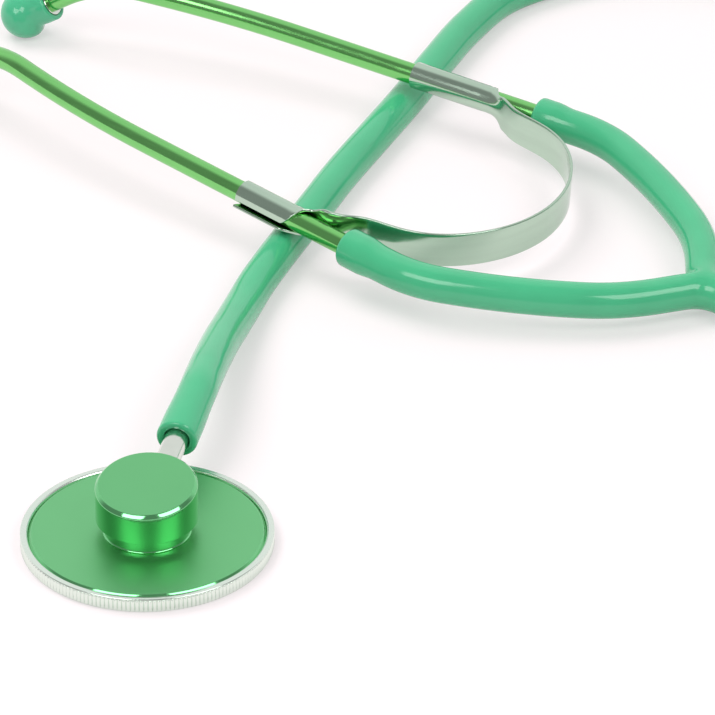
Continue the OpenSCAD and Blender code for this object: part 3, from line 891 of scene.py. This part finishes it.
def sloping_ring(r, lift):
    """A ring parallel to the knob's sloping top, lifted from it."""
    slope = tan(radians(KNOB_SLOPE))
    ring = []
    for k in range(FINE_SIDES):
        a = 2 * pi * k / FINE_SIDES
        rise = r * cos(a - radians(STEM_TURN)) * slope
        ring.append(Vector((r * cos(a), r * sin(a), KNOB_TOP + lift + rise)) * MM)
    return ring


def chest_body():
    """Plate, neck and knob; the knob's flat top slopes up towards the stem."""
    e, f = SMALL_EDGE, NECK_FILLET
    profile = [(AIR_R, STEM_Z), (AIR_R, PLATE_Z + BELL_D), (LIP_R, PLATE_Z)]
    profile += arc(PLATE_R - e, PLATE_Z + e, e, -90, 0, 3)
    profile += bevel(PLATE_R, PLATE_TOP, PLATE_EDGE, PLATE_BEVEL, PLATE_LEAN)
    profile += [(profile[-1][0] - EDGE_HOLD, PLATE_TOP), (NECK_R + f + EDGE_HOLD, PLATE_TOP)]
    profile += arc(NECK_R + f, PLATE_TOP + f, f, -90, -180, 8)
    profile += arc(NECK_R + e, KNOB_Z - e, e, 180, 90, 3)
    profile += arc(KNOB_R - e, KNOB_Z + e, e, -90, 0, 5)
    rim = bevel(KNOB_R, 0, KNOB_EDGE, KNOB_BEVEL, KNOB_LEAN)
    top = [(KNOB_R, rim[0][1] - EDGE_HOLD)] + rim
    top += [(rim[-1][0] - KNOB_TOP_HOLD, 0), (KNOB_R / 2, 0), (KNOB_TOP_MIDDLE, 0)]
    rings = lathe(profile, FINE_SIDES) + [sloping_ring(r, lift) for r, lift in top]
    body = new_object("chestpiece_body", *skin(rings, close_start=True, close_end=True))
    finish_piece(body, "chestpiece", "anodised_green", ["chest_body"])


def stem():
    """The plated tube from the knob into the tubing, with barbs on the part inside it."""
    shown = STEM_OUT - STEM_IN
    pitch = BARB_LEN / (BARBS + 1)
    profile = [(STEM_BORE_R, 0), (STEM_R, 0), (STEM_R, shown + pitch)]
    for i in range(1, BARBS + 1):
        profile += [(STEM_R + BARB_H, shown + i * pitch + BARB_STEP),
                    (STEM_R, shown + (i + 1) * pitch - RING_EASE),
                    (STEM_R, shown + (i + 1) * pitch)]
    end = shown + BARB_LEN + BARB_STEP
    profile += [(STEM_R - RING_EASE, end), (STEM_BORE_R, end)]
    place = axis_place(along_stem(STEM_IN), stem_line(), Vector((0, 0, 1)))
    piece = new_object("plated_stem", *skin(lathe(profile, TUBE_SIDES, place), loop=True))
    finish_piece(piece, "chestpiece", "plated_metal", ["stem"])


def retaining_ring():
    """The ring's own section, with V-shaped knurls below a smooth bead."""
    bead_z = RING_H - BEAD_H
    core = RING_R - KNURL_D
    # Radius, height and how much of the knurls' depth is cut there
    section = [(LIP_R, 0.12, 0), (LIP_R + 0.12, 0, 0),
               (core - 0.25, 0, 0), (core - 0.05, 0.05, 0),
               (RING_R - 0.12, 0.22, 0.6), (RING_R, 0.4, 1), (RING_R, bead_z / 2, 1),
               (RING_R, bead_z - 0.25, 1), (RING_R - 0.1, bead_z - 0.12, 0.7),
               (core - 0.1, bead_z - 0.02, 0), (RING_R - 0.1, bead_z + 0.04, 0),
               (RING_R, bead_z + 0.1, 0), (RING_R - 0.02, RING_H - 0.12, 0),
               (RING_R - 0.1, RING_H - 0.03, 0), (RING_R - 0.2, RING_H, 0),
               (RING_BORE + 0.4, RING_H, 0), (RING_BORE + 0.3, RING_H - 0.04, 0),
               (RING_BORE + 0.05, RING_H - 0.26, 0), (RING_BORE, RING_H - 0.36, 0),
               (RING_BORE, LIP_T, 0), (LIP_R, LIP_T, 0)]
    # How deep each of a knurl's columns is, as a share of its depth
    groove = [0, 0.25, 1, 0.25]
    columns = KNURLS * len(groove)
    rings = []
    for r, z, share in section:
        ring = []
        for k in range(columns):
            a = 2 * pi * k / columns
            cut = r - KNURL_D * share * groove[k % len(groove)]
            ring.append(Vector((cut * cos(a), cut * sin(a), z)) * MM)
        rings.append(ring)
    piece = new_object("knurled_ring", *skin(rings, loop=True))
    finish_piece(piece, "ring", "ring_metal", ["retaining_ring"])


def diaphragm():
    """The film keeps its CAD shape and gets its own material."""
    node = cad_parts["diaphragm"]
    node.data.materials.clear()
    node.data.materials.append(MATERIALS["film"])


# Floor, lamps and world, in metres, degrees and watts

CAMERA_SIDE = 215
FLOOR_HALF = 12
FLOOR_COLOUR = (0.92, 0.81, 0.835)
# The floor's own light has this share near the object, and grows to all of it between two
# distances
FLOOR_GLOW = 0.45
FLOOR_NEAR = 0.45
FLOOR_FAR = 1.6
LIGHT_TARGET = Vector((0.1, 0.03, 0))
KEY = {"turn": 95, "rise": 60, "far": 1.4, "wide": 0.9, "high": 0.9, "watts": 9.3}
LEFT_BOX = {"turn": 181, "rise": 46, "far": 1.2, "wide": 0.62, "high": 0.5, "watts": 4.0}
RIGHT_BOX = {"turn": 262, "rise": 46, "far": 1.2, "wide": 0.7, "high": 0.5, "watts": 4.3}
# The room's light beyond the object and on the camera's side, and where one turns to the other
WORLD_FAR = 0.92
WORLD_NEAR = 0.34
WORLD_TURN = (-0.5, -0.1)


def lamp(name, turn, rise, far, wide, high, watts, mirrored=True):
    """A rectangular lamp that faces the target from a direction and a distance."""
    data = bpy.data.lights.new(name, "AREA")
    data.shape = "RECTANGLE"
    data.size = wide
    data.size_y = high
    data.energy = watts
    obj = bpy.data.objects.new(name, data)
    bpy.context.scene.collection.objects.link(obj)
    out = Vector((cos(radians(rise)) * cos(radians(turn)),
                  cos(radians(rise)) * sin(radians(turn)), sin(radians(rise))))
    obj.location = LIGHT_TARGET + far * out
    obj.rotation_euler = out.to_track_quat("Z", "Y").to_euler()
    obj.visible_glossy = mirrored


def seen_ray(tree):
    """One for rays of the camera, of gloss and through glass, and nought for the others."""
    path = add_node(tree, "ShaderNodeLightPath")
    first = add_node(tree, "ShaderNodeMath", operation="MAXIMUM")
    both = add_node(tree, "ShaderNodeMath", operation="MAXIMUM")
    tree.links.new(path.outputs["Is Camera Ray"], first.inputs[0])
    tree.links.new(path.outputs["Is Glossy Ray"], first.inputs[1])
    tree.links.new(first.outputs[0], both.inputs[0])
    tree.links.new(path.outputs["Is Transmission Ray"], both.inputs[1])
    return both.outputs[0]


def make_floor():
    """A white floor that keeps soft shadows near the object and fades to plain white far off."""
    s = FLOOR_HALF
    corners = [(-s, -s, 0), (s, -s, 0), (s, s, 0), (-s, s, 0)]
    floor = new_object("floor", corners, [(0, 1, 2, 3)])
    material = bpy.data.materials.new("white_floor")
    material.use_nodes = True
    tree = material.node_tree
    tree.nodes.clear()
    diffuse = add_node(tree, "ShaderNodeBsdfDiffuse")
    diffuse.inputs["Color"].default_value = (*FLOOR_COLOUR, 1)
    glow = add_node(tree, "ShaderNodeEmission")
    glow.inputs["Strength"].default_value = 1
    where = add_node(tree, "ShaderNodeTexCoord")
    far = add_node(tree, "ShaderNodeVectorMath", operation="DISTANCE", in_1=tuple(LIGHT_TARGET))
    share = add_node(tree, "ShaderNodeMapRange", interpolation_type="SMOOTHSTEP")
    share.inputs["From Min"].default_value = FLOOR_NEAR
    share.inputs["From Max"].default_value = FLOOR_FAR
    share.inputs["To Min"].default_value = FLOOR_GLOW
    share.inputs["To Max"].default_value = 1
    times = add_node(tree, "ShaderNodeMath", operation="MULTIPLY")
    mix = add_node(tree, "ShaderNodeMixShader")
    out = add_node(tree, "ShaderNodeOutputMaterial")
    tree.links.new(where.outputs["Object"], far.inputs[0])
    tree.links.new(far.outputs["Value"], share.inputs["Value"])
    tree.links.new(share.outputs[0], times.inputs[0])
    tree.links.new(seen_ray(tree), times.inputs[1])
    tree.links.new(times.outputs[0], mix.inputs[0])
    tree.links.new(diffuse.outputs[0], mix.inputs[1])
    tree.links.new(glow.outputs[0], mix.inputs[2])
    tree.links.new(mix.outputs[0], out.inputs["Surface"])
    floor.data.materials.append(material)


def make_world():
    """A bright room on the far side, darker on the camera's side, to the sides and overhead."""
    world = bpy.data.worlds.new("studio")
    bpy.context.scene.world = world
    world.use_nodes = True
    tree = world.node_tree
    background = tree.nodes["Background"]
    where = add_node(tree, "ShaderNodeTexCoord")
    near = (cos(radians(CAMERA_SIDE)), sin(radians(CAMERA_SIDE)), 0)
    facing = add_node(tree, "ShaderNodeVectorMath", operation="DOT_PRODUCT", in_1=near)
    room = add_node(tree, "ShaderNodeMapRange", interpolation_type="SMOOTHSTEP")
    room.inputs["From Min"].default_value, room.inputs["From Max"].default_value = WORLD_TURN
    room.inputs["To Min"].default_value = WORLD_FAR
    room.inputs["To Max"].default_value = WORLD_NEAR
    camera = add_node(tree, "ShaderNodeLightPath")
    seen = add_node(tree, "ShaderNodeMix", data_type="FLOAT", in_3=1.0)
    tree.links.new(where.outputs["Generated"], facing.inputs[0])
    tree.links.new(facing.outputs["Value"], room.inputs["Value"])
    tree.links.new(camera.outputs["Is Camera Ray"], seen.inputs[0])
    tree.links.new(room.outputs[0], seen.inputs[2])
    background.inputs["Color"].default_value = (1, 1, 1, 1)
    tree.links.new(seen.outputs[0], background.inputs["Strength"])


def make_light():
    """Floor, room and three lamps, of which the key isn't mirrored in the metal."""
    make_floor()
    make_world()
    lamp("key", **KEY, mirrored=False)
    lamp("left_box", **LEFT_BOX)
    lamp("right_box", **RIGHT_BOX)
    bpy.context.scene.view_settings.view_transform = "Standard"


make_camera()
MATERIALS = make_materials()
main_tubing()
end_cuff()
y_junction()
for side in SIDES:
    arm(side)
    spring_half(side)
    ear_tube(side)
    ferrule(side)
    ear_tip(side)
chest_body()
stem()
retaining_ring()
diaphragm()
make_light()
